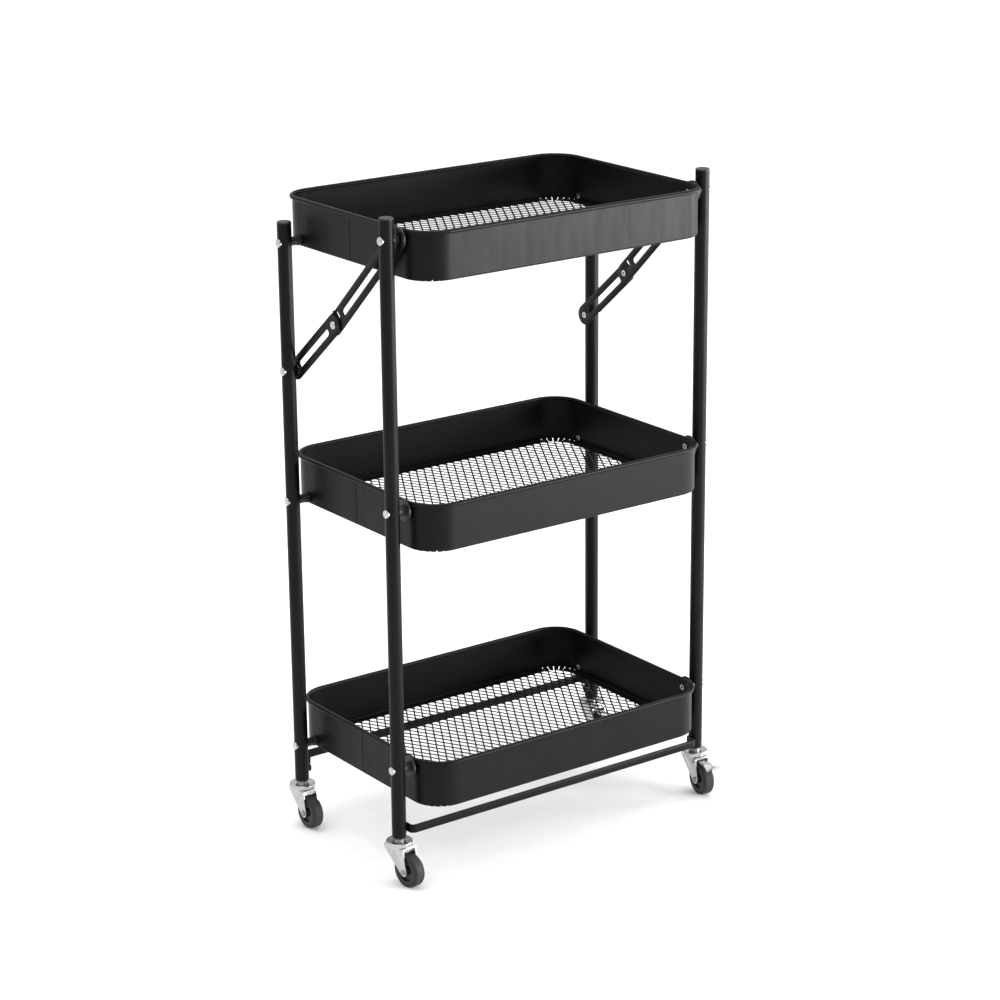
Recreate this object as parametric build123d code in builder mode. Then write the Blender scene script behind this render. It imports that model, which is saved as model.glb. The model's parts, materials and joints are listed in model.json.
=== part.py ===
from build123d import *
import math
import os

os.makedirs("parts", exist_ok=True)

# Folding utility cart: three trays hang between a front and a rear pair of tube legs.
# Millimetres. The floor is Z = 0, +X is the right end, -Y is the front and +Z is up.

# ---- driving dimensions ------------------------------------------------------------------
# Legs stand in a rectangle whose middle is a little behind the origin, because the
# brake pedals reach out in front of the trays.
CENTRE_Y = 6.5
LEG_X = 212.0
LEG_Y = 100.0
FRONT_Y = CENTRE_Y - LEG_Y
REAR_Y = CENTRE_Y + LEG_Y
LEG_RADIUS = 8.0
LEG_WALL = 1.0
LEG_BOTTOM = 55.0
FRONT_LEG_TOP = 746.3
REAR_LEG_TOP = 709.2
CAP_DOME = 2.0
CAP_ROUNDING = 0.9 * CAP_DOME
CAP_PLUG = 10.0

# Trays: folded sheet with a rolled rim and an inward flange that carries the mesh.
TRAY_RIMS = {"top": 735.0, "middle": 440.0, "bottom": 145.0}
TRAY_HALF_LENGTH = 193.0
TRAY_HALF_WIDTH = 137.5
TRAY_HEIGHT = 54.0
TRAY_CORNER = 35.0
SHEET = 1.0
BEND_RADIUS = 2.0
BEAD_DIAMETER = 4.6
BEAD_PROUD = 2.8
BEAD_ROUNDING = 0.46 * BEAD_DIAMETER
FLANGE_WIDTH = 9.0
NOTCHES_PER_CORNER = 7
NOTCH_WIDTH = 1.2
NOTCH_FIRST = 9.0
NOTCH_SPREAD = 72.0
SEAM_WIDTH = 1.6
SEAM_PROUD = 0.3

# Expanded-metal floor, kept as a plain sheet of the same outline.
MESH_SHEET = 1.2
MESH_INSET = 7.0
MESH_PANEL_PROUD = 0.2

# Pivot heights below each rim.
FRONT_PIVOT_DROP = 11.0
REAR_PIVOT_DROP = 47.5

# Rivets.
SHANK_RADIUS = 2.5
RIVET_HOLE = 2.55
HEAD_RADIUS = 4.65
HEAD_HEIGHT = 1.3
HEAD_ROUNDING = 0.9 * HEAD_HEIGHT
ROLLED_RADIUS = 3.5
ROLLED_HOLE = 1.5
ROLLED_DEPTH = 1.0
FOOT_ROLLED_DEPTH = 0.4
FOOT_ROLLED_CUP = 1.2
HINGE_HEAD_HEIGHT = 1.5
HINGE_HEAD_ROUNDING = 1.3

# Gaps left between parts that turn or slide on one another.
FACE_GAP = 0.1
FOOT_GAP = 0.15
BORE_GAP = 0.05
PRESS_GAP = 0.02
PIN_GAP = 0.06
FORK_GAP = 0.3

# Layers between leg and tray, as distances from the cart's middle plane.
LEG_FACE = LEG_X - LEG_RADIUS
LOWER_ARM_OUTER = 202.2
LOWER_ARM_INNER = 200.6
UPPER_ARM_OUTER = 200.0
UPPER_ARM_INNER = 198.4
DISC_OUTER = 198.1
DISC_INNER = 196.1
TRAY_FACE = TRAY_HALF_LENGTH + FACE_GAP
DISC_RADIUS = 12.0
BOSS_RADIUS = 5.5
BUSHING_RADIUS = 5.0
BUSHING_FLANGE_RADIUS = 5.75

# Folding braces, one at each end.
BRACE_FOOT_DROP = 192.0
HINGE_Y = CENTRE_Y + 21.7
HINGE_DROP = 126.6
ARM_WIDTH = 23.5
ARM_SLOT = 7.2
ARM_CORNER = 3.0
LOWER_ARM_TAIL = 8.5
STOP_TAB_BACK = 10.4
STOP_TAB_WIDTH = 2.0
STOP_WINDOW_BACK = 13.8
STOP_WINDOW_UP = 4.6
STOP_WINDOW_LENGTH = 8.5
STOP_WINDOW_WIDTH = 3.6
SLOT_FROM_TOP = 20.0
SLOT_FROM_HINGE_UPPER = 23.0
SLOT_FROM_HINGE_LOWER = 13.5
SLOT_FROM_FOOT = 10.0
FOOT_WASHER_RADIUS = 7.0

# Crossbars near the floor: strip on edge with both ends bent back to the legs.
BAR_THICKNESS = 2.5
BAR_STAND_OFF = 13.4
BAR_BEND = 5.0
BAR_LAP = 3.0
BAR_PAD = (2.0, 6.0)
FRONT_BAR_Z = (59.8, 69.0)
REAR_BAR_Z = (72.5, 82.0)

# Rubber buttons that the front legs meet when the cart is folded.
STOP_RADIUS = 5.0
STOP_HEIGHT = 2.5
STOP_ROUNDING = 0.8
STOP_Z = 67.0

# Casters.
SOCKET_PLUG_RADIUS = 6.9
SOCKET_COLLAR_RADIUS = 7.6
SOCKET_TOP = 78.0
COLLAR_BOTTOM = 53.5
STEM_RADIUS = 4.0
STEM_TOP = 74.0
STEM_CHAMFER = 0.8
STEM_HEAD_RADIUS = 5.6
STEM_HEAD = 1.8
STEM_SUNK = 1.0
CUP_RADIUS = 15.0
CUP_BOTTOM = 46.0
CUP_RIM_TOP = 50.5
CUP_SHEET = 1.2
CUP_NECK_RADIUS = 6.0
CUP_ROUNDING = 1.5
CUP_NECK_SUNK = 0.2
FORK_TOP = 45.5
FORK_SHEET = 2.0
FORK_PLATE_RADIUS = 13.5
FORK_INNER = 8.0
FORK_OUTER = 9.8
FORK_FRONT = -15.5
FORK_REAR = 14.5
FORK_END_RADIUS = 5.0
FORK_ROUNDING = 2.5
AXLE_Z = 19.0
TRAIL = 16.0
WHEEL_RADIUS = 19.0
WHEEL_WIDTH = 13.5
HUB_RADIUS = 13.5
HUB_RIM = 2.0
HUB_DISH = 3.0
HUB_BOSS_RADIUS = 5.0
TYRE_ROUNDING = 3.0
AXLE_RADIUS = 2.5
AXLE_HEAD_RADIUS = 3.2
AXLE_HEAD = 1.6
AXLE_ROUNDING = 0.7
BALL_RADIUS = 1.6
BALL_RING = 9.5
BALLS = 12
TRACK_HALF_WIDTH = 0.8
TRACK_SUNK = 0.4
TRACK_DEPTH = 0.1
PEDAL_PIVOT = (-12.0, 40.8)
PEDAL_PIN_RADIUS = 1.5
PEDAL_WIDTH = 11.0
PEDAL_SHEET = 1.6
PEDAL_KNEE = (-29.0, 40.2)
PEDAL_DIP = (-36.0, 35.2)
PEDAL_TIP = (-52.55, 49.0)
PEDAL_BEND = 3.0
PEDAL_PIN_HEAD = 0.8
PEDAL_EYE_RADIUS = 2.3
SWIVEL = {"front_left": 8.0, "front_right": -8.0, "rear_left": 0.0, "rear_right": -4.0}

# ---- derived places ----------------------------------------------------------------------
SIDES = {"left": -1, "right": 1}
TOP_RIM = TRAY_RIMS["top"]
FORK_ROOF = FORK_TOP - FORK_SHEET
FRONT_PIVOTS = [rim - FRONT_PIVOT_DROP for rim in TRAY_RIMS.values()]
REAR_PIVOTS = [rim - REAR_PIVOT_DROP for rim in TRAY_RIMS.values()]
BRACE_TOP = (FRONT_Y, TOP_RIM - FRONT_PIVOT_DROP)
BRACE_HINGE = (HINGE_Y, TOP_RIM - HINGE_DROP)
BRACE_FOOT = (REAR_Y, TOP_RIM - BRACE_FOOT_DROP)
UPPER_LENGTH = math.dist(BRACE_TOP, BRACE_HINGE)
LOWER_LENGTH = math.dist(BRACE_HINGE, BRACE_FOOT)


def side_plane(side, distance, y, z):
    """Plane across the cart, its normal pointing outward at the given end."""
    return Plane(origin=(side * distance, y, z), x_dir=(0, side, 0), z_dir=(side, 0, 0))


def arm_plane(side, distance, start, end):
    """Plane on an arm's inner face: local X runs from start to end, and Z along +X."""
    return Plane(
        origin=(side * distance, start[0], start[1]),
        x_dir=(0, end[0] - start[0], end[1] - start[1]),
        z_dir=(1, 0, 0),
    )


def caster_plane(corner):
    """Plane on the floor under a leg, turned with the caster's swivel."""
    turn = math.radians(SWIVEL[corner])
    x = LEG_X if corner.endswith("right") else -LEG_X
    y = FRONT_Y if corner.startswith("front") else REAR_Y
    return Plane(origin=(x, y, 0), x_dir=(math.cos(turn), math.sin(turn), 0), z_dir=(0, 0, 1))


def upright_plane(base):
    """Plane through the wheel's middle, whose local axes are the caster's Y and Z."""
    return Plane(origin=base.origin, x_dir=base.y_dir, z_dir=base.x_dir)


def save(part, label):
    """Name a finished piece and write it."""
    part.label = label
    export_step(part, f"parts/{label}.step")


# ---- trays -------------------------------------------------------------------------------
CORNER_X = TRAY_HALF_LENGTH - TRAY_CORNER
CORNER_Y = TRAY_HALF_WIDTH - TRAY_CORNER
WINDOW_INSET = SHEET + FLANGE_WIDTH
TRAY_CORNERS = [
    (CORNER_X, CORNER_Y, 0),
    (-CORNER_X, CORNER_Y, 90),
    (-CORNER_X, -CORNER_Y, 180),
    (CORNER_X, -CORNER_Y, 270),
]

for tray, rim in TRAY_RIMS.items():
    floor_plane = Plane(origin=(0, CENTRE_Y, rim - TRAY_HEIGHT))
    bead_plane = Plane(origin=(0, CENTRE_Y, rim - BEAD_DIAMETER / 2))
    with BuildPart() as tray_wall:
        with BuildSketch(floor_plane):
            RectangleRounded(2 * TRAY_HALF_LENGTH, 2 * TRAY_HALF_WIDTH, TRAY_CORNER)
        extrude(amount=TRAY_HEIGHT)
        fillet(tray_wall.edges().group_by(Axis.Z)[0], radius=BEND_RADIUS)
        offset(amount=-SHEET, openings=tray_wall.faces().sort_by(Axis.Z)[-1])
        # The flange is what is left of the floor around the mesh's window.
        with BuildSketch(floor_plane):
            RectangleRounded(
                2 * (TRAY_HALF_LENGTH - WINDOW_INSET),
                2 * (TRAY_HALF_WIDTH - WINDOW_INSET),
                TRAY_CORNER - WINDOW_INSET,
            )
        extrude(amount=2 * SHEET, mode=Mode.SUBTRACT)
        # Radial relief cuts let the flange turn each corner.
        with BuildSketch(floor_plane):
            for corner_x, corner_y, start in TRAY_CORNERS:
                with Locations((corner_x, corner_y)):
                    first = start + NOTCH_FIRST
                    with PolarLocations(
                        TRAY_CORNER, NOTCHES_PER_CORNER, first, NOTCH_SPREAD, endpoint=True
                    ):
                        Rectangle(2 * (WINDOW_INSET + SHEET), NOTCH_WIDTH)
        extrude(amount=BEND_RADIUS, mode=Mode.SUBTRACT)
        # Rolled bead around the rim, pushed out past the wall.
        with BuildSketch(bead_plane):
            RectangleRounded(
                2 * (TRAY_HALF_LENGTH + BEAD_PROUD),
                2 * (TRAY_HALF_WIDTH + BEAD_PROUD),
                TRAY_CORNER + BEAD_PROUD,
            )
            inner_bead = BEAD_DIAMETER - BEAD_PROUD
            RectangleRounded(
                2 * (TRAY_HALF_LENGTH - inner_bead),
                2 * (TRAY_HALF_WIDTH - inner_bead),
                TRAY_CORNER - inner_bead,
                mode=Mode.SUBTRACT,
            )
        bead = extrude(amount=BEAD_DIAMETER / 2, both=True, mode=Mode.PRIVATE)
        bead_edges = bead.edges().group_by(Axis.Z)
        add(bead.fillet(BEAD_ROUNDING, bead_edges[0] + bead_edges[-1]))
        # Butt weld down the middle of the left end.
        seam_foot = (-TRAY_HALF_LENGTH, CENTRE_Y, rim - TRAY_HEIGHT + BEND_RADIUS)
        with BuildSketch(Plane(origin=seam_foot)):
            Rectangle(2 * SEAM_PROUD, SEAM_WIDTH)
        extrude(amount=TRAY_HEIGHT - BEND_RADIUS - BEAD_DIAMETER)
        # Pivot holes through both ends.
        with BuildSketch(Plane.YZ):
            with Locations((FRONT_Y, rim - FRONT_PIVOT_DROP), (REAR_Y, rim - REAR_PIVOT_DROP)):
                Circle(RIVET_HOLE)
        extrude(amount=TRAY_HALF_LENGTH + 1, both=True, mode=Mode.SUBTRACT)
    save(tray_wall.part, f"{tray}_tray_wall")

    # The floor is welded to the underside of the flange.
    with BuildPart() as tray_mesh:
        with BuildSketch(floor_plane):
            RectangleRounded(
                2 * (TRAY_HALF_LENGTH - MESH_INSET),
                2 * (TRAY_HALF_WIDTH - MESH_INSET),
                TRAY_CORNER - MESH_INSET,
            )
        extrude(amount=-MESH_SHEET)
        # Inside the window it stands a little proud of the welded edge.
        with BuildSketch(floor_plane):
            RectangleRounded(
                2 * (TRAY_HALF_LENGTH - WINDOW_INSET - MESH_PANEL_PROUD),
                2 * (TRAY_HALF_WIDTH - WINDOW_INSET - MESH_PANEL_PROUD),
                TRAY_CORNER - WINDOW_INSET - MESH_PANEL_PROUD,
            )
        extrude(amount=MESH_PANEL_PROUD)
    save(tray_mesh.part, f"{tray}_tray_mesh")


# ---- legs, caps, crossbars ---------------------------------------------------------------
REAR_LEG_HOLES = REAR_PIVOTS + [BRACE_FOOT[1]]
LEGS = {
    "front": (FRONT_Y, FRONT_LEG_TOP, FRONT_PIVOTS),
    "rear": (REAR_Y, REAR_LEG_TOP, REAR_LEG_HOLES),
}

for row, (leg_y, leg_top, hole_heights) in LEGS.items():
    for side_name, side in SIDES.items():
        with BuildPart() as leg:
            with BuildSketch(Plane(origin=(side * LEG_X, leg_y, LEG_BOTTOM))):
                Circle(LEG_RADIUS)
                Circle(LEG_RADIUS - LEG_WALL, mode=Mode.SUBTRACT)
            extrude(amount=leg_top - LEG_BOTTOM)
            with BuildSketch(side_plane(side, LEG_X, 0, 0)):
                with Locations(*[(side * leg_y, height) for height in hole_heights]):
                    Circle(RIVET_HOLE)
            extrude(amount=2 * LEG_RADIUS, both=True, mode=Mode.SUBTRACT)
        save(leg.part, f"{row}_{side_name}_leg")

    with BuildPart() as caps:
        with BuildSketch(Plane(origin=(0, leg_y, leg_top))):
            with Locations((-LEG_X, 0), (LEG_X, 0)):
                Circle(LEG_RADIUS)
        extrude(amount=CAP_DOME)
        fillet(caps.edges().group_by(Axis.Z)[-1], radius=CAP_ROUNDING)
        with BuildSketch(Plane(origin=(0, leg_y, leg_top))):
            with Locations((-LEG_X, 0), (LEG_X, 0)):
                Circle(SOCKET_PLUG_RADIUS)
        extrude(amount=-CAP_PLUG)
    save(caps.part, f"{row}_leg_caps")

    forward = -1 if row == "front" else 1
    bar_bottom, bar_top = FRONT_BAR_Z if row == "front" else REAR_BAR_Z
    bar_face_y = leg_y + forward * (BAR_STAND_OFF - BAR_THICKNESS / 2)
    bar_end_x = LEG_FACE - BAR_THICKNESS / 2
    with BuildPart() as crossbar:
        with BuildSketch(Plane.XY.offset(bar_bottom)):
            with BuildLine():
                FilletPolyline(
                    (-bar_end_x, leg_y - forward * BAR_LAP),
                    (-bar_end_x, bar_face_y),
                    (bar_end_x, bar_face_y),
                    (bar_end_x, leg_y - forward * BAR_LAP),
                    radius=BAR_BEND,
                )
            trace(line_width=BAR_THICKNESS)
            # Pads that meet the round legs.
            with Locations((-LEG_FACE, leg_y), (LEG_FACE, leg_y)):
                Rectangle(*BAR_PAD)
        extrude(amount=bar_top - bar_bottom)
        with BuildSketch(Plane(origin=(0, leg_y, bar_bottom))):
            with Locations((-LEG_X, 0), (LEG_X, 0)):
                Circle(LEG_RADIUS)
        extrude(amount=bar_top - bar_bottom, mode=Mode.SUBTRACT)
    save(crossbar.part, f"{row}_crossbar")

    with BuildPart() as sockets:
        for side in SIDES.values():
            leg_foot = Plane(origin=(side * LEG_X, leg_y, 0))
            with BuildSketch(leg_foot.offset(LEG_BOTTOM)):
                Circle(SOCKET_PLUG_RADIUS)
            extrude(amount=SOCKET_TOP - LEG_BOTTOM)
            with BuildSketch(leg_foot.offset(COLLAR_BOTTOM)):
                Circle(SOCKET_COLLAR_RADIUS)
            extrude(amount=LEG_BOTTOM - COLLAR_BOTTOM)
            with BuildSketch(leg_foot.offset(COLLAR_BOTTOM)):
                Circle(STEM_RADIUS + BORE_GAP)
            extrude(amount=STEM_TOP + 1 - COLLAR_BOTTOM, mode=Mode.SUBTRACT)
    save(sockets.part, f"{row}_caster_sockets")


with BuildPart() as leg_stops:
    for side in SIDES.values():
        with BuildSketch(side_plane(side, LEG_FACE - STOP_HEIGHT, REAR_Y, STOP_Z)):
            Circle(STOP_RADIUS)
        extrude(amount=STOP_HEIGHT + LEG_RADIUS / 4)
    stop_edges = leg_stops.edges().filter_by(GeomType.CIRCLE).group_by(Axis.X)
    fillet(stop_edges[1] + stop_edges[2], radius=STOP_ROUNDING)
    with BuildSketch(Plane(origin=(0, REAR_Y, STOP_Z - 2 * STOP_RADIUS))):
        with Locations((-LEG_X, 0), (LEG_X, 0)):
            Circle(LEG_RADIUS)
    extrude(amount=4 * STOP_RADIUS, mode=Mode.SUBTRACT)
save(leg_stops.part, "leg_stops")


# ---- pivot rivets and spacers --------------------------------------------------------------
ROWS = {"front": (FRONT_Y, FRONT_PIVOTS), "rear": (REAR_Y, REAR_PIVOTS)}

for row, (pivot_y, heights) in ROWS.items():
    pivots = [(side, height) for side in SIDES.values() for height in heights]
    with BuildPart() as rivets:
        # Domed heads, hollowed underneath to sit on the round legs.
        for side, height in pivots:
            with BuildSketch(side_plane(side, LEG_X + LEG_RADIUS / 2, pivot_y, height)):
                Circle(HEAD_RADIUS)
            extrude(amount=LEG_RADIUS / 2 + HEAD_HEIGHT)
        by_x = rivets.edges().filter_by(GeomType.CIRCLE).group_by(Axis.X)
        fillet(by_x[0] + by_x[-1], radius=HEAD_ROUNDING)
        with BuildSketch(Plane(origin=(0, pivot_y, LEG_BOTTOM))):
            with Locations((-LEG_X, 0), (LEG_X, 0)):
                Circle(LEG_RADIUS)
        extrude(amount=FRONT_LEG_TOP, mode=Mode.SUBTRACT)
        rolled_face = TRAY_HALF_LENGTH - SHEET - ROLLED_DEPTH - FACE_GAP
        for side, height in pivots:
            with BuildSketch(side_plane(side, rolled_face, pivot_y, height)):
                Circle(SHANK_RADIUS)
            extrude(amount=LEG_X + LEG_RADIUS + 1 - rolled_face)
            with BuildSketch(side_plane(side, rolled_face, pivot_y, height)):
                Circle(ROLLED_RADIUS)
            extrude(amount=ROLLED_DEPTH)
            with BuildSketch(side_plane(side, rolled_face, pivot_y, height)):
                Circle(ROLLED_HOLE)
            extrude(amount=4 * ROLLED_DEPTH, mode=Mode.SUBTRACT)
    save(rivets.part, f"{row}_pivot_rivets")

with BuildPart() as front_discs:
    for side in SIDES.values():
        for height in FRONT_PIVOTS:
            with BuildSketch(side_plane(side, DISC_INNER, FRONT_Y, height)):
                Circle(DISC_RADIUS)
                Circle(RIVET_HOLE, mode=Mode.SUBTRACT)
            extrude(amount=DISC_OUTER - DISC_INNER)
            with BuildSketch(side_plane(side, TRAY_FACE, FRONT_Y, height)):
                Circle(BOSS_RADIUS)
                Circle(RIVET_HOLE, mode=Mode.SUBTRACT)
            extrude(amount=DISC_INNER - TRAY_FACE)
save(front_discs.part, "front_pivot_discs")

with BuildPart() as front_spacers:
    for side in SIDES.values():
        for height in FRONT_PIVOTS:
            start = UPPER_ARM_OUTER + FACE_GAP if height == BRACE_TOP[1] else DISC_OUTER
            with BuildSketch(side_plane(side, start, FRONT_Y, height)):
                Circle(BOSS_RADIUS)
                Circle(RIVET_HOLE, mode=Mode.SUBTRACT)
            extrude(amount=LEG_X - LEG_RADIUS / 2 - start)
    with BuildSketch(Plane(origin=(0, FRONT_Y, LEG_BOTTOM))):
        with Locations((-LEG_X, 0), (LEG_X, 0)):
            Circle(LEG_RADIUS)
    extrude(amount=FRONT_LEG_TOP, mode=Mode.SUBTRACT)
save(front_spacers.part, "front_pivot_spacers")

with BuildPart() as rear_bushings:
    for side in SIDES.values():
        for height in REAR_PIVOTS:
            with BuildSketch(side_plane(side, TRAY_FACE, REAR_Y, height)):
                Circle(BUSHING_FLANGE_RADIUS)
                Circle(RIVET_HOLE, mode=Mode.SUBTRACT)
            extrude(amount=DISC_INNER - TRAY_FACE)
            with BuildSketch(side_plane(side, DISC_INNER, REAR_Y, height)):
                Circle(BUSHING_RADIUS)
                Circle(RIVET_HOLE, mode=Mode.SUBTRACT)
            extrude(amount=LEG_X - LEG_RADIUS / 2 - DISC_INNER)
    with BuildSketch(Plane(origin=(0, REAR_Y, LEG_BOTTOM))):
        with Locations((-LEG_X, 0), (LEG_X, 0)):
            Circle(LEG_RADIUS)
    extrude(amount=FRONT_LEG_TOP, mode=Mode.SUBTRACT)
save(rear_bushings.part, "rear_pivot_bushings")


# ---- braces --------------------------------------------------------------------------------
HALF_ARM = ARM_WIDTH / 2
FOOT_SHANK_END = LOWER_ARM_OUTER + FOOT_GAP
FOOT_ROLLED_FACE = LOWER_ARM_INNER - FOOT_ROLLED_DEPTH
HINGE_ROLLED_FACE = UPPER_ARM_INNER - ROLLED_DEPTH

for side_name, side in SIDES.items():
    with BuildPart() as upper_arm:
        with BuildSketch(arm_plane(side, UPPER_ARM_INNER, BRACE_TOP, BRACE_HINGE)):
            with Locations((UPPER_LENGTH / 2, 0)):
                SlotCenterToCenter(UPPER_LENGTH, ARM_WIDTH)
            with Locations((0, 0), (UPPER_LENGTH, 0)):
                Circle(RIVET_HOLE, mode=Mode.SUBTRACT)
            upper_slot = UPPER_LENGTH - SLOT_FROM_TOP - SLOT_FROM_HINGE_UPPER
            with Locations((SLOT_FROM_TOP + upper_slot / 2, 0)):
                SlotOverall(upper_slot, ARM_SLOT, mode=Mode.SUBTRACT)
            # Window that the stop tab was pressed out of.
            with Locations((UPPER_LENGTH - STOP_WINDOW_BACK, STOP_WINDOW_UP)):
                SlotOverall(STOP_WINDOW_LENGTH, STOP_WINDOW_WIDTH, rotation=90, mode=Mode.SUBTRACT)
        extrude(amount=side * (UPPER_ARM_OUTER - UPPER_ARM_INNER))
        # Stop tab, standing out in front of the lower arm's squared tail.
        with BuildSketch(arm_plane(side, UPPER_ARM_INNER, BRACE_TOP, BRACE_HINGE)):
            with Locations((UPPER_LENGTH - STOP_TAB_BACK, HALF_ARM - STOP_TAB_WIDTH / 2)):
                Rectangle(UPPER_ARM_OUTER - UPPER_ARM_INNER, STOP_TAB_WIDTH)
        extrude(amount=side * (LOWER_ARM_OUTER - UPPER_ARM_INNER))
    save(upper_arm.part, f"{side_name}_upper_brace_arm")

    with BuildPart() as lower_arm:
        with BuildSketch(arm_plane(side, LOWER_ARM_INNER, BRACE_HINGE, BRACE_FOOT)):
            with Locations((LOWER_LENGTH / 2, 0)):
                SlotCenterToCenter(LOWER_LENGTH, ARM_WIDTH)
            with Locations((0, 0)):
                RectangleRounded(2 * LOWER_ARM_TAIL, ARM_WIDTH, ARM_CORNER)
            with Locations((0, 0), (LOWER_LENGTH, 0)):
                Circle(RIVET_HOLE, mode=Mode.SUBTRACT)
            lower_slot = LOWER_LENGTH - SLOT_FROM_HINGE_LOWER - SLOT_FROM_FOOT
            with Locations((SLOT_FROM_HINGE_LOWER + lower_slot / 2, 0)):
                SlotOverall(lower_slot, ARM_SLOT, mode=Mode.SUBTRACT)
        extrude(amount=side * (LOWER_ARM_OUTER - LOWER_ARM_INNER))
    save(lower_arm.part, f"{side_name}_lower_brace_arm")

    with BuildPart() as arm_rivets:
        # Hinge rivet, headed outside and rolled inside.
        with BuildSketch(side_plane(side, LOWER_ARM_OUTER, *BRACE_HINGE)):
            Circle(HEAD_RADIUS)
        extrude(amount=HINGE_HEAD_HEIGHT)
        outer_x = Axis.X if side > 0 else Axis((0, 0, 0), (-1, 0, 0))
        fillet(arm_rivets.edges().group_by(outer_x)[-1], radius=HINGE_HEAD_ROUNDING)
        with BuildSketch(side_plane(side, HINGE_ROLLED_FACE, *BRACE_HINGE)):
            Circle(ROLLED_RADIUS)
        extrude(amount=ROLLED_DEPTH - FACE_GAP)
        with BuildSketch(side_plane(side, HINGE_ROLLED_FACE, *BRACE_HINGE)):
            Circle(SHANK_RADIUS)
        extrude(amount=LOWER_ARM_OUTER + HINGE_HEAD_HEIGHT / 2 - HINGE_ROLLED_FACE)
        with BuildSketch(side_plane(side, HINGE_ROLLED_FACE, *BRACE_HINGE)):
            Circle(ROLLED_HOLE)
        extrude(amount=3 * ROLLED_DEPTH, mode=Mode.SUBTRACT)
        # Rolled end of the foot rivet, flush in the arm.
        with BuildSketch(side_plane(side, FOOT_ROLLED_FACE, *BRACE_FOOT)):
            Circle(ROLLED_RADIUS)
        extrude(amount=FOOT_ROLLED_DEPTH)
        with BuildSketch(side_plane(side, FOOT_ROLLED_FACE, *BRACE_FOOT)):
            Circle(SHANK_RADIUS)
        extrude(amount=LOWER_ARM_OUTER - FOOT_ROLLED_FACE)
        with BuildSketch(side_plane(side, FOOT_ROLLED_FACE, *BRACE_FOOT)):
            Circle(ROLLED_HOLE)
        extrude(amount=FOOT_ROLLED_CUP, mode=Mode.SUBTRACT)
    save(arm_rivets.part, f"{side_name}_brace_rivets")

with BuildPart() as foot_rivets:
    for side in SIDES.values():
        with BuildSketch(side_plane(side, LEG_X + LEG_RADIUS / 2, *BRACE_FOOT)):
            Circle(HEAD_RADIUS)
        extrude(amount=LEG_RADIUS / 2 + HEAD_HEIGHT)
    by_x = foot_rivets.edges().filter_by(GeomType.CIRCLE).group_by(Axis.X)
    fillet(by_x[0] + by_x[-1], radius=HEAD_ROUNDING)
    with BuildSketch(Plane(origin=(0, REAR_Y, LEG_BOTTOM))):
        with Locations((-LEG_X, 0), (LEG_X, 0)):
            Circle(LEG_RADIUS)
    extrude(amount=FRONT_LEG_TOP, mode=Mode.SUBTRACT)
    for side in SIDES.values():
        with BuildSketch(side_plane(side, FOOT_SHANK_END, *BRACE_FOOT)):
            Circle(SHANK_RADIUS)
        extrude(amount=LEG_X + LEG_RADIUS + 1 - FOOT_SHANK_END)
save(foot_rivets.part, "brace_foot_rivets")

with BuildPart() as foot_washers:
    for side in SIDES.values():
        with BuildSketch(side_plane(side, FOOT_SHANK_END, *BRACE_FOOT)):
            Circle(FOOT_WASHER_RADIUS)
            Circle(RIVET_HOLE, mode=Mode.SUBTRACT)
        extrude(amount=LEG_FACE - FOOT_SHANK_END)
save(foot_washers.part, "brace_foot_washers")


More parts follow.
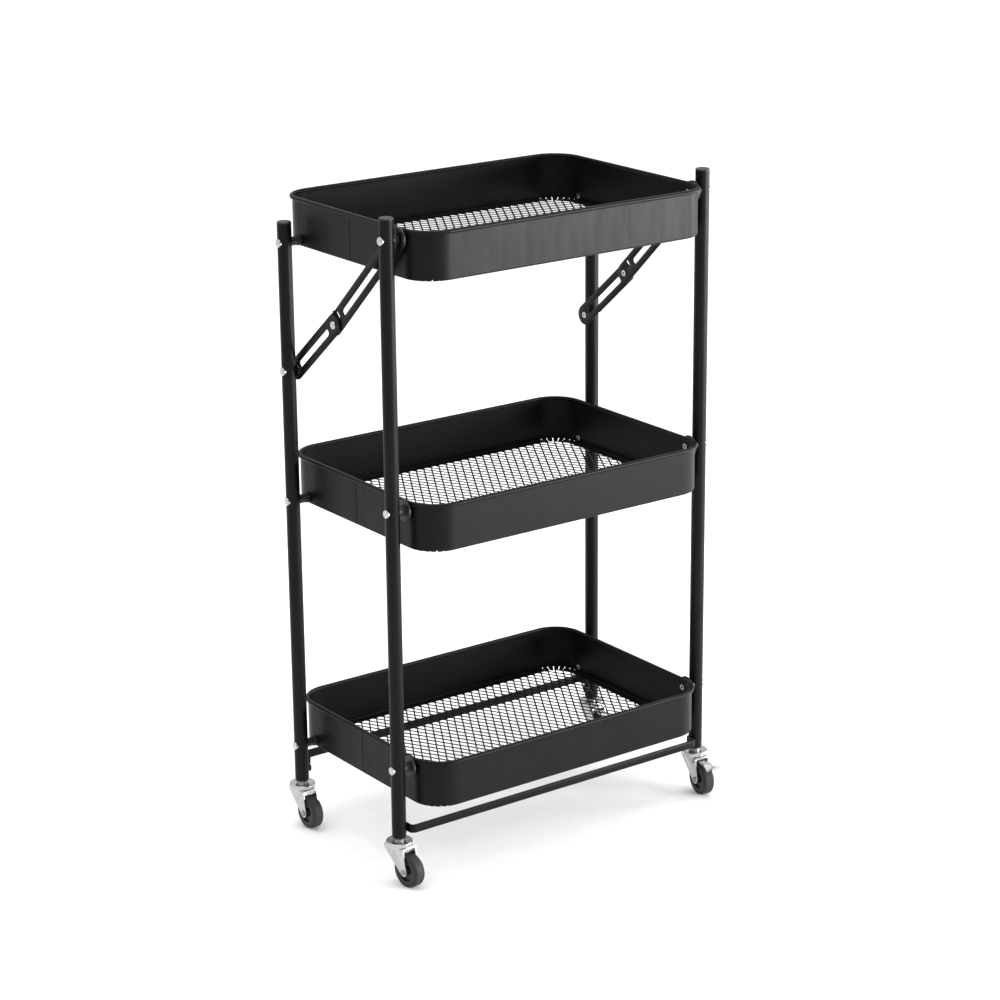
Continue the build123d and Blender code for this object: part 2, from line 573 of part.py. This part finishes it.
# ---- casters -------------------------------------------------------------------------------
for corner in SWIVEL:
    base = caster_plane(corner)
    upright = upright_plane(base)

    with BuildPart() as stem:
        # Riveted-over head just under the fork's roof.
        with BuildSketch(base.offset(FORK_ROOF - STEM_HEAD - FORK_GAP)):
            Circle(STEM_HEAD_RADIUS)
        extrude(amount=STEM_HEAD)
        with BuildSketch(base.offset(FORK_ROOF - STEM_SUNK)):
            Circle(STEM_RADIUS)
        extrude(amount=STEM_TOP - FORK_ROOF + STEM_SUNK)
        chamfer(stem.edges().sort_by(Axis.Z)[-1], length=STEM_CHAMFER)
    save(stem.part, f"{corner}_stem")

    with BuildPart() as cup:
        with BuildSketch(base.offset(CUP_BOTTOM)):
            Circle(CUP_RADIUS)
        extrude(amount=CUP_RIM_TOP - CUP_BOTTOM)
        fillet(cup.edges().group_by(Axis.Z)[-1], radius=CUP_ROUNDING)
        with BuildSketch(base.offset(CUP_BOTTOM)):
            Circle(CUP_RADIUS - CUP_SHEET)
        extrude(amount=CUP_RIM_TOP - CUP_BOTTOM - CUP_SHEET, mode=Mode.SUBTRACT)
        with BuildSketch(base.offset(CUP_RIM_TOP - CUP_NECK_SUNK)):
            Circle(CUP_NECK_RADIUS)
        extrude(amount=COLLAR_BOTTOM - CUP_RIM_TOP + CUP_NECK_SUNK)
        with BuildSketch(base.offset(CUP_BOTTOM)):
            Circle(STEM_RADIUS + PRESS_GAP)
        extrude(amount=COLLAR_BOTTOM - CUP_BOTTOM + 1, mode=Mode.SUBTRACT)
        # Ball track under the cup's roof.
        with BuildSketch(base.offset(CUP_RIM_TOP - CUP_SHEET - TRACK_SUNK)):
            Circle(BALL_RING + TRACK_HALF_WIDTH)
            Circle(BALL_RING - TRACK_HALF_WIDTH, mode=Mode.SUBTRACT)
        extrude(amount=TRACK_SUNK + TRACK_DEPTH, mode=Mode.SUBTRACT)
    save(cup.part, f"{corner}_race_cup")

    with BuildPart() as fork:
        with BuildSketch(upright):
            with Locations((-TRAIL, AXLE_Z)):
                Circle(FORK_END_RADIUS)
            with Locations(((FORK_FRONT + FORK_REAR) / 2, FORK_ROOF)):
                Rectangle(FORK_REAR - FORK_FRONT, 2 * FORK_SHEET)
            make_hull()
        extrude(amount=FORK_OUTER, both=True)
        top_corners = fork.edges().filter_by(Axis(base.origin, base.y_dir)).group_by(Axis.Z)[-1]
        fillet(top_corners, radius=FORK_ROUNDING)
        with BuildSketch(upright):
            with Locations((0, FORK_ROOF / 2)):
                Rectangle(4 * WHEEL_RADIUS, FORK_ROOF)
        extrude(amount=FORK_INNER, both=True, mode=Mode.SUBTRACT)
        with BuildSketch(base.offset(FORK_ROOF)):
            Circle(FORK_PLATE_RADIUS)
        extrude(amount=FORK_SHEET)
        with BuildSketch(base.offset(FORK_ROOF)):
            Circle(STEM_RADIUS + PIN_GAP)
        extrude(amount=FORK_SHEET, mode=Mode.SUBTRACT)
        with BuildSketch(upright):
            with Locations((-TRAIL, AXLE_Z)):
                Circle(RIVET_HOLE)
            if corner.endswith("right"):
                with Locations(PEDAL_PIVOT):
                    Circle(PEDAL_PIN_RADIUS + BORE_GAP)
        extrude(amount=FORK_OUTER + 1, both=True, mode=Mode.SUBTRACT)
    save(fork.part, f"{corner}_fork")

    with BuildPart() as axle:
        with BuildSketch(upright):
            with Locations((-TRAIL, AXLE_Z)):
                Circle(AXLE_HEAD_RADIUS)
        extrude(amount=FORK_OUTER + AXLE_HEAD, both=True)
        fillet(axle.edges().filter_by(GeomType.CIRCLE), radius=AXLE_ROUNDING)
        with BuildSketch(upright):
            with Locations((-TRAIL, AXLE_Z)):
                Circle(2 * AXLE_HEAD_RADIUS)
                Circle(AXLE_RADIUS, mode=Mode.SUBTRACT)
        extrude(amount=FORK_OUTER, both=True, mode=Mode.SUBTRACT)
    save(axle.part, f"{corner}_axle")

    with BuildPart() as hub:
        with BuildSketch(upright):
            with Locations((-TRAIL, AXLE_Z)):
                Circle(HUB_RADIUS)
        extrude(amount=WHEEL_WIDTH / 2, both=True)
        # Dished faces around a raised boss.
        for face in (-1, 1):
            with BuildSketch(upright.offset(face * WHEEL_WIDTH / 2)):
                with Locations((-TRAIL, AXLE_Z)):
                    Circle(HUB_RADIUS - HUB_RIM)
                    Circle(HUB_BOSS_RADIUS, mode=Mode.SUBTRACT)
            extrude(amount=-face * HUB_DISH, mode=Mode.SUBTRACT)
            with BuildSketch(upright.offset(face * WHEEL_WIDTH / 2)):
                with Locations((-TRAIL, AXLE_Z)):
                    Circle(HUB_BOSS_RADIUS)
            extrude(amount=face * (FORK_INNER - WHEEL_WIDTH / 2 - FORK_GAP))
        with BuildSketch(upright):
            with Locations((-TRAIL, AXLE_Z)):
                Circle(AXLE_RADIUS + PIN_GAP)
        extrude(amount=FORK_INNER, both=True, mode=Mode.SUBTRACT)
    save(hub.part, f"{corner}_hub")

    with BuildPart() as tyre:
        with BuildSketch(upright):
            with Locations((-TRAIL, AXLE_Z)):
                Circle(WHEEL_RADIUS)
        extrude(amount=WHEEL_WIDTH / 2, both=True)
        fillet(tyre.edges().filter_by(GeomType.CIRCLE), radius=TYRE_ROUNDING)
        with BuildSketch(upright):
            with Locations((-TRAIL, AXLE_Z)):
                Circle(HUB_RADIUS)
        extrude(amount=WHEEL_WIDTH, both=True, mode=Mode.SUBTRACT)
    save(tyre.part, f"{corner}_tyre")

    if not corner.endswith("right"):
        continue

    with BuildPart() as pedal:
        with BuildSketch(upright):
            with BuildLine():
                FilletPolyline(PEDAL_PIVOT, PEDAL_KNEE, PEDAL_DIP, PEDAL_TIP, radius=PEDAL_BEND)
            trace(line_width=PEDAL_SHEET)
            with Locations(PEDAL_PIVOT):
                Circle(PEDAL_EYE_RADIUS)
        extrude(amount=PEDAL_WIDTH / 2, both=True)
        with BuildSketch(upright):
            with Locations(PEDAL_PIVOT):
                Circle(PEDAL_PIN_RADIUS + BORE_GAP)
        extrude(amount=PEDAL_WIDTH, both=True, mode=Mode.SUBTRACT)
    save(pedal.part, f"{corner}_brake_pedal")

    with BuildPart() as pin:
        with BuildSketch(upright):
            with Locations(PEDAL_PIVOT):
                Circle(PEDAL_EYE_RADIUS)
        extrude(amount=FORK_OUTER + PEDAL_PIN_HEAD, both=True)
        with BuildSketch(upright):
            with Locations(PEDAL_PIVOT):
                Circle(2 * PEDAL_EYE_RADIUS)
                Circle(PEDAL_PIN_RADIUS, mode=Mode.SUBTRACT)
        extrude(amount=FORK_OUTER, both=True, mode=Mode.SUBTRACT)
    save(pin.part, f"{corner}_brake_pin")

# Ball rings between each cup and fork, one group for each pair of legs.
for row, leg_y in (("front", FRONT_Y), ("rear", REAR_Y)):
    with BuildPart() as balls:
        for side in SIDES.values():
            ball_z = CUP_RIM_TOP - CUP_SHEET + BORE_GAP - BALL_RADIUS
            with Locations(Plane(origin=(side * LEG_X, leg_y, ball_z))):
                with PolarLocations(BALL_RING, BALLS):
                    Sphere(BALL_RADIUS)
    save(balls.part, f"{row}_caster_balls")
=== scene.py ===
import json
import math

import bmesh
import bpy
from mathutils import Matrix, Vector


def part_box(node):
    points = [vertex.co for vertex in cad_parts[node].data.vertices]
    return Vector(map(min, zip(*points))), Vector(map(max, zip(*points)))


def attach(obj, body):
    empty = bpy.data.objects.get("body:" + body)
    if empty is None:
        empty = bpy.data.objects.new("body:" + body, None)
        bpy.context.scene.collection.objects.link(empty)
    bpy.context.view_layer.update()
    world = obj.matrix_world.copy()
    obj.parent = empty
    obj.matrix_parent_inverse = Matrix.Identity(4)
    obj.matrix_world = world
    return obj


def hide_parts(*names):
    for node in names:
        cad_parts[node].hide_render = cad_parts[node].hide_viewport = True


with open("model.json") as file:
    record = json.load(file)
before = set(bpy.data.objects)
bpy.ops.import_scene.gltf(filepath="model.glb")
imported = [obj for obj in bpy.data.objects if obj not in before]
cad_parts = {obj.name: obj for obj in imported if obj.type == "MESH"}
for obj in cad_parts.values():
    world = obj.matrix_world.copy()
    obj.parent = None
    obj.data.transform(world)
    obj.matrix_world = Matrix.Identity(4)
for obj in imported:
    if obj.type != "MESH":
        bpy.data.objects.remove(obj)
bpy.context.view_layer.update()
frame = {"nodes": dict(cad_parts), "record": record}

# ---- camera --------------------------------------------------------------------------------
CAMERA_AT = Vector((-1.778, -2.448, 1.3435))
CAMERA_HEADING = math.radians(-35.95)
CAMERA_PITCH = math.radians(-17.69)
CAMERA_ROLL = math.radians(-0.54)
FOCAL_PIXELS = 2797.0
FRAME_PIXELS = 1000.0
SENSOR_WIDTH = 36.0


def make_camera():
    """Three-quarter view of the front and left end, from above the top tray."""
    data = bpy.data.cameras.new("camera")
    data.sensor_width = SENSOR_WIDTH
    data.lens = FOCAL_PIXELS / FRAME_PIXELS * SENSOR_WIDTH
    data.clip_end = 50.0
    camera = bpy.data.objects.new("camera", data)
    turn = Matrix.Rotation(CAMERA_HEADING, 4, "Z") @ Matrix.Rotation(math.pi / 2 + CAMERA_PITCH, 4, "X")
    camera.matrix_world = Matrix.Translation(CAMERA_AT) @ turn @ Matrix.Rotation(CAMERA_ROLL, 4, "Z")
    bpy.context.scene.collection.objects.link(camera)
    bpy.context.scene.camera = camera


# ---- studio --------------------------------------------------------------------------------
FLOOR_HALF = 14.0
HORIZON_GLOW = 0.38
ZENITH_GLOW = 1.65
# Each lamp's place, the height it aims at on the cart's middle line, its size and its watts.
LAMPS = {
    "key": ((2.3, -2.8, 0.42), 0.32, 1.4, 185.0),
    "edge": ((2.9, -0.9, 0.6), 0.35, 0.9, 45.0),
    "fill": ((-2.8, 0.4, 1.8), 0.4, 1.4, 2.0),
    "top": ((0.0, 0.3, 2.8), 0.4, 1.4, 25.0),
}


def area_light(name, at, target, size, power):
    """Soft square lamp that faces the target."""
    data = bpy.data.lights.new(name, "AREA")
    data.shape = "SQUARE"
    data.size = size
    data.energy = power
    lamp = bpy.data.objects.new(name, data)
    aim = (Vector(target) - Vector(at)).to_track_quat("-Z", "Y")
    lamp.matrix_world = Matrix.Translation(at) @ aim.to_matrix().to_4x4()
    bpy.context.scene.collection.objects.link(lamp)


def make_studio():
    """White sweep, white surroundings and four soft lamps."""
    bm = bmesh.new()
    corners = [(-1, -1), (1, -1), (1, 1), (-1, 1)]
    bm.faces.new([bm.verts.new((x * FLOOR_HALF, y * FLOOR_HALF, 0.0)) for x, y in corners])
    mesh = bpy.data.meshes.new("studio_floor")
    bm.to_mesh(mesh)
    bm.free()
    floor = bpy.data.objects.new("studio_floor", mesh)
    bpy.context.scene.collection.objects.link(floor)
    floor.data.materials.append(floor_paper())

    world = bpy.data.worlds.new("studio")
    world.use_nodes = True
    nodes, links = world.node_tree.nodes, world.node_tree.links
    direction = nodes.new("ShaderNodeTexCoord")
    height = nodes.new("ShaderNodeSeparateXYZ")
    glow = nodes.new("ShaderNodeMapRange")
    glow.inputs["To Min"].default_value = HORIZON_GLOW
    glow.inputs["To Max"].default_value = ZENITH_GLOW
    links.new(direction.outputs["Generated"], height.inputs["Vector"])
    links.new(height.outputs["Z"], glow.inputs["Value"])
    links.new(glow.outputs["Result"], nodes["Background"].inputs["Strength"])
    nodes["Background"].inputs["Color"].default_value = (1.0, 1.0, 1.0, 1.0)
    bpy.context.scene.world = world
    bpy.context.scene.view_settings.view_transform = "Standard"

    for name, (at, aim_height, size, power) in LAMPS.items():
        area_light(name, at, (0.0, 0.0, aim_height), size, power)


# ---- materials -----------------------------------------------------------------------------
class Surface:
    """Principled material that is built up from object-space noise."""

    def __init__(self, name, metallic, specular=0.5, coat=0.0, coat_roughness=0.2):
        self.material = bpy.data.materials.new(name)
        self.material.use_nodes = True
        self.nodes = self.material.node_tree.nodes
        self.links = self.material.node_tree.links
        self.shader = self.nodes["Principled BSDF"]
        self.shader.inputs["Metallic"].default_value = metallic
        self.shader.inputs["Specular IOR Level"].default_value = specular
        self.shader.inputs["Coat Weight"].default_value = coat
        self.shader.inputs["Coat Roughness"].default_value = coat_roughness
        self.coordinates = self.nodes.new("ShaderNodeTexCoord")

    def noise(self, scale, detail=4.0, roughness=0.55, stretch=(1.0, 1.0, 1.0)):
        """Noise in object space, scale in cycles to the metre."""
        mapping = self.nodes.new("ShaderNodeMapping")
        mapping.inputs["Scale"].default_value = stretch
        self.links.new(self.coordinates.outputs["Object"], mapping.inputs["Vector"])
        noise = self.nodes.new("ShaderNodeTexNoise")
        noise.inputs["Scale"].default_value = scale
        noise.inputs["Detail"].default_value = detail
        noise.inputs["Roughness"].default_value = roughness
        self.links.new(mapping.outputs["Vector"], noise.inputs["Vector"])
        return noise.outputs["Fac"]

    def ramp(self, factor, low, high, start=0.35, end=0.65):
        """Colour from low to high as the factor goes from start to end."""
        ramp = self.nodes.new("ShaderNodeValToRGB")
        ramp.color_ramp.elements[0].position = start
        ramp.color_ramp.elements[1].position = end
        ramp.color_ramp.elements[0].color = (*low, 1.0)
        ramp.color_ramp.elements[1].color = (*high, 1.0)
        self.links.new(factor, ramp.inputs["Fac"])
        return ramp.outputs["Color"]

    def spread(self, factor, low, high):
        """Value from low to high over the middle of the factor's range."""
        remap = self.nodes.new("ShaderNodeMapRange")
        remap.inputs["From Min"].default_value = 0.3
        remap.inputs["From Max"].default_value = 0.7
        remap.inputs["To Min"].default_value = low
        remap.inputs["To Max"].default_value = high
        self.links.new(factor, remap.inputs["Value"])
        return remap.outputs["Result"]

    def colour(self, socket):
        self.links.new(socket, self.shader.inputs["Base Color"])

    def roughness(self, socket):
        self.links.new(socket, self.shader.inputs["Roughness"])

    def bump(self, *layers):
        """Stacks bump layers, each a (height, strength, distance) triple."""
        normal = None
        for height, strength, distance in layers:
            bump = self.nodes.new("ShaderNodeBump")
            bump.inputs["Strength"].default_value = strength
            bump.inputs["Distance"].default_value = distance
            self.links.new(height, bump.inputs["Height"])
            if normal is not None:
                self.links.new(normal, bump.inputs["Normal"])
            normal = bump.outputs["Normal"]
        self.links.new(normal, self.shader.inputs["Normal"])


def floor_paper():
    surface = Surface("studio_paper", 0.0, specular=0.2)
    grain = surface.noise(60.0)
    surface.colour(surface.ramp(grain, (0.90, 0.90, 0.90), (0.92, 0.92, 0.92)))
    surface.roughness(surface.spread(grain, 0.85, 0.95))
    return surface.material


def powder_coat(name, low, high, rough_low, rough_high):
    """Satin black powder coat: fine orange peel, slow gloss drift, faint handling marks."""
    surface = Surface(name, 0.0, specular=0.13)
    drift = surface.noise(14.0, 3.0)
    peel = surface.noise(1400.0, 2.0)
    speckle = surface.noise(5200.0, 1.0)
    marks = surface.noise(90.0, 6.0, 0.7, (1.0, 1.0, 0.15))
    surface.colour(surface.ramp(drift, low, high))
    surface.roughness(surface.spread(marks, rough_low, rough_high))
    surface.bump((peel, 0.22, 0.00012), (speckle, 0.12, 0.00004))
    return surface.material


def zinc_plate():
    """Bright zinc: pale blue-yellow drift, tumbled dents and fine drawing lines."""
    surface = Surface("zinc_plate", 1.0)
    drift = surface.noise(160.0, 3.0)
    dents = surface.noise(900.0, 3.0, 0.6)
    lines = surface.noise(2600.0, 2.0, 0.5, (1.0, 1.0, 0.12))
    surface.colour(surface.ramp(drift, (0.42, 0.44, 0.47), (0.54, 0.53, 0.50)))
    surface.roughness(surface.spread(dents, 0.16, 0.30))
    surface.bump((dents, 0.18, 0.00015), (lines, 0.10, 0.00004))
    return surface.material


def moulded_nylon():
    """Black moulded nylon: spark-eroded texture and soft flow marks."""
    surface = Surface("black_plastic", 0.0, specular=0.45)
    texture = surface.noise(3800.0, 2.0)
    flow = surface.noise(120.0, 4.0, 0.6, (1.0, 1.0, 0.4))
    surface.colour(surface.ramp(flow, (0.012, 0.012, 0.013), (0.022, 0.022, 0.024)))
    surface.roughness(surface.spread(flow, 0.38, 0.55))
    surface.bump((texture, 0.2, 0.00006), (flow, 0.08, 0.0001))
    return surface.material


def tread_rubber():
    """Dark grey tread: matt, a little dusty and finely grained."""
    surface = Surface("caster_tread", 0.0, specular=0.35)
    dust = surface.noise(240.0, 6.0, 0.7)
    grain = surface.noise(4200.0, 2.0)
    surface.colour(surface.ramp(dust, (0.013, 0.012, 0.014), (0.026, 0.024, 0.028), 0.3, 0.7))
    surface.roughness(surface.spread(dust, 0.55, 0.8))
    surface.bump((grain, 0.3, 0.00006), (dust, 0.12, 0.0001))
    return surface.material


def stop_rubber():
    surface = Surface("stop_rubber", 0.0, specular=0.3)
    grain = surface.noise(3000.0, 3.0)
    surface.colour(surface.ramp(grain, (0.010, 0.010, 0.010), (0.020, 0.020, 0.020)))
    surface.roughness(surface.spread(grain, 0.6, 0.8))
    surface.bump((grain, 0.3, 0.0001))
    return surface.material


def axle_steel():
    """Dull uncoated steel with fine turning marks."""
    surface = Surface("axle_steel", 1.0)
    marks = surface.noise(1800.0, 3.0, 0.5, (1.0, 0.2, 1.0))
    surface.colour(surface.ramp(marks, (0.24, 0.25, 0.27), (0.34, 0.35, 0.37)))
    surface.roughness(surface.spread(marks, 0.32, 0.5))
    surface.bump((marks, 0.15, 0.00008))
    return surface.material


def bearing_steel():
    surface = Surface("bearing_steel", 1.0)
    polish = surface.noise(800.0, 3.0)
    surface.colour(surface.ramp(polish, (0.66, 0.66, 0.67), (0.74, 0.74, 0.75)))
    surface.roughness(surface.spread(polish, 0.08, 0.18))
    surface.bump((polish, 0.05, 0.00005))
    return surface.material


MATERIALS = {
    "black_powder_coat": powder_coat(
        "black_powder_coat", (0.0030, 0.0030, 0.0031), (0.0046, 0.0046, 0.0046), 0.33, 0.45
    ),
    "zinc_plate": zinc_plate(),
    "black_plastic": moulded_nylon(),
    "caster_tread": tread_rubber(),
    "stop_rubber": stop_rubber(),
    "axle_steel": axle_steel(),
    "bearing_steel": bearing_steel(),
}


def finish_cad_nodes():
    """Gives every carried-over CAD node the finish of its own slot."""
    for subpart in frame["record"]["subparts"]:
        slots = frame["nodes"][subpart["node"]].material_slots
        for slot in slots:
            slot.material = MATERIALS[subpart["material_slot"]]


# ---- broken edges --------------------------------------------------------------------------
DISSOLVE_ANGLE = math.radians(0.5)
SHARP_ANGLE = math.radians(32)
MERGE_DISTANCE = 2e-6
EDGE_SEGMENTS = 2


def soften(node, body, slot_name, radius):
    """Stands a copy with its pressed or moulded edges broken in for a sharp-edged CAD node."""
    bm = bmesh.new()
    bm.from_mesh(frame["nodes"][node].data)
    bmesh.ops.remove_doubles(bm, verts=bm.verts[:], dist=MERGE_DISTANCE)
    bmesh.ops.dissolve_limit(
        bm, angle_limit=DISSOLVE_ANGLE, verts=bm.verts[:], edges=bm.edges[:], use_dissolve_boundaries=False
    )
    mesh = bpy.data.meshes.new(node + "_soft")
    bm.to_mesh(mesh)
    bm.free()
    piece = bpy.data.objects.new(node + "_soft", mesh)
    bpy.context.scene.collection.objects.link(piece)
    for polygon in mesh.polygons:
        polygon.use_smooth = True
    edges = piece.modifiers.new("edges", "BEVEL")
    edges.width = radius
    edges.segments = EDGE_SEGMENTS
    edges.limit_method = "ANGLE"
    edges.angle_limit = SHARP_ANGLE
    edges.use_clamp_overlap = True
    edges.harden_normals = True
    mesh.materials.append(MATERIALS[slot_name])
    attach(piece, body)
    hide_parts(node)


# ---- expanded-metal floors -----------------------------------------------------------------
DIAMOND_X = 0.0106
DIAMOND_Y = 0.018
STRAND = 0.0016
STRAND_TILT = 0.00015
MESH_THICKNESS = 0.0009
MESH_CORNER = 0.028
STRAND_EDGE = 0.00018
STRAND_EDGE_ANGLE = math.radians(50)
CORNER_CUTS = 8
CUT_TOLERANCE = 1e-6


def inside_rounded(x, y, half_x, half_y, corner):
    """True inside a rounded rectangle centred on the origin."""
    over_x = max(abs(x) - (half_x - corner), 0.0)
    over_y = max(abs(y) - (half_y - corner), 0.0)
    return math.hypot(over_x, over_y) <= corner


def diamond_lattice(half_x, half_y):
    """Flat sheet of diamonds, each with an opening whose edges are tilted as slit metal is."""
    slant = math.hypot(DIAMOND_X, DIAMOND_Y)
    open_x = DIAMOND_X / 2 - STRAND / 2 * slant / DIAMOND_Y
    open_y = DIAMOND_Y / 2 - STRAND / 2 * slant / DIAMOND_X
    bm = bmesh.new()
    shared = {}

    def knuckle(i, j):
        if (i, j) not in shared:
            shared[i, j] = bm.verts.new((i * DIAMOND_X / 2, j * DIAMOND_Y / 2, 0.0))
        return shared[i, j]

    columns = int(half_x / (DIAMOND_X / 2)) + 2
    rows = int(half_y / (DIAMOND_Y / 2)) + 2
    for i in range(-columns, columns + 1):
        for j in range(-rows, rows + 1):
            x, y = i * DIAMOND_X / 2, j * DIAMOND_Y / 2
            near = inside_rounded(x, y, half_x + DIAMOND_X, half_y + DIAMOND_Y, MESH_CORNER + DIAMOND_X)
            if (i + j) % 2 or not near:
                continue
            outer = [knuckle(i + 1, j), knuckle(i, j + 1), knuckle(i - 1, j), knuckle(i, j - 1)]
            inner = [
                bm.verts.new((x + open_x, y, 0.0)),
                bm.verts.new((x, y + open_y, STRAND_TILT)),
                bm.verts.new((x - open_x, y, 0.0)),
                bm.verts.new((x, y - open_y, -STRAND_TILT)),
            ]
            for k in range(4):
                following = (k + 1) % 4
                bm.faces.new((outer[k], outer[following], inner[following], inner[k]))
    return bm


def trim_to_rounded(bm, half_x, half_y, corner):
    """Shears the sheet to a rounded rectangle with straight cuts round each corner."""
    for quarter in range(4):
        for step in range(CORNER_CUTS + 1):
            angle = math.radians(90 * quarter + 90 * step / CORNER_CUTS)
            direction = Vector((math.cos(angle), math.sin(angle), 0.0))
            sign_x = 1 if quarter in (0, 3) else -1
            sign_y = 1 if quarter in (0, 1) else -1
            centre = Vector((sign_x * (half_x - corner), sign_y * (half_y - corner), 0.0))
            everything = bm.verts[:] + bm.edges[:] + bm.faces[:]
            bmesh.ops.bisect_plane(
                bm,
                geom=everything,
                plane_co=centre + direction * corner,
                plane_no=direction,
                clear_outer=True,
                dist=CUT_TOLERANCE,
            )


def tray_floor(tray):
    """Expanded metal in place of the plain CAD sheet, in the same box."""
    node = f"{tray}_tray_mesh"
    low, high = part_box(node)
    middle = (low + high) / 2
    half = (high - low) / 2
    bm = diamond_lattice(half.x, half.y)
    trim_to_rounded(bm, half.x, half.y, MESH_CORNER)
    mesh = bpy.data.meshes.new(node + "_expanded")
    bm.to_mesh(mesh)
    bm.free()
    mesh.transform(Matrix.Translation(middle))
    piece = bpy.data.objects.new(node + "_expanded", mesh)
    bpy.context.scene.collection.objects.link(piece)
    thickness = piece.modifiers.new("thickness", "SOLIDIFY")
    thickness.thickness = MESH_THICKNESS
    thickness.offset = 0.0
    edges = piece.modifiers.new("edges", "BEVEL")
    edges.width = STRAND_EDGE
    edges.segments = 1
    edges.limit_method = "ANGLE"
    edges.angle_limit = STRAND_EDGE_ANGLE
    piece.data.materials.append(MATERIALS["black_powder_coat"])
    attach(piece, f"{tray}_tray")
    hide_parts(node)


# ---- assembly ------------------------------------------------------------------------------
ARM_EDGE = 0.00035
BAR_EDGE = 0.0005
CASTER_EDGE = 0.0004
SOFT_NODES = {
    **{f"{end}_{arm}_brace_arm": ARM_EDGE for arm in ("upper", "lower") for end in ("left", "right")},
    **{f"{row}_crossbar": BAR_EDGE for row in ("front", "rear")},
    **{f"{row}_{end}_fork": CASTER_EDGE for row in ("front", "rear") for end in ("left", "right")},
    **{f"{row}_right_brake_pedal": CASTER_EDGE for row in ("front", "rear")},
}
SLOT_OF = {subpart["node"]: subpart["material_slot"] for subpart in frame["record"]["subparts"]}
BODY_OF = {
    node: body for body, members in frame["record"]["behaviour"]["bodies"].items() for node in members
}

make_camera()
make_studio()
finish_cad_nodes()
for soft_node, edge_radius in SOFT_NODES.items():
    soften(soft_node, BODY_OF[soft_node], SLOT_OF[soft_node], edge_radius)
for tray_name in ("top", "middle", "bottom"):
    tray_floor(tray_name)
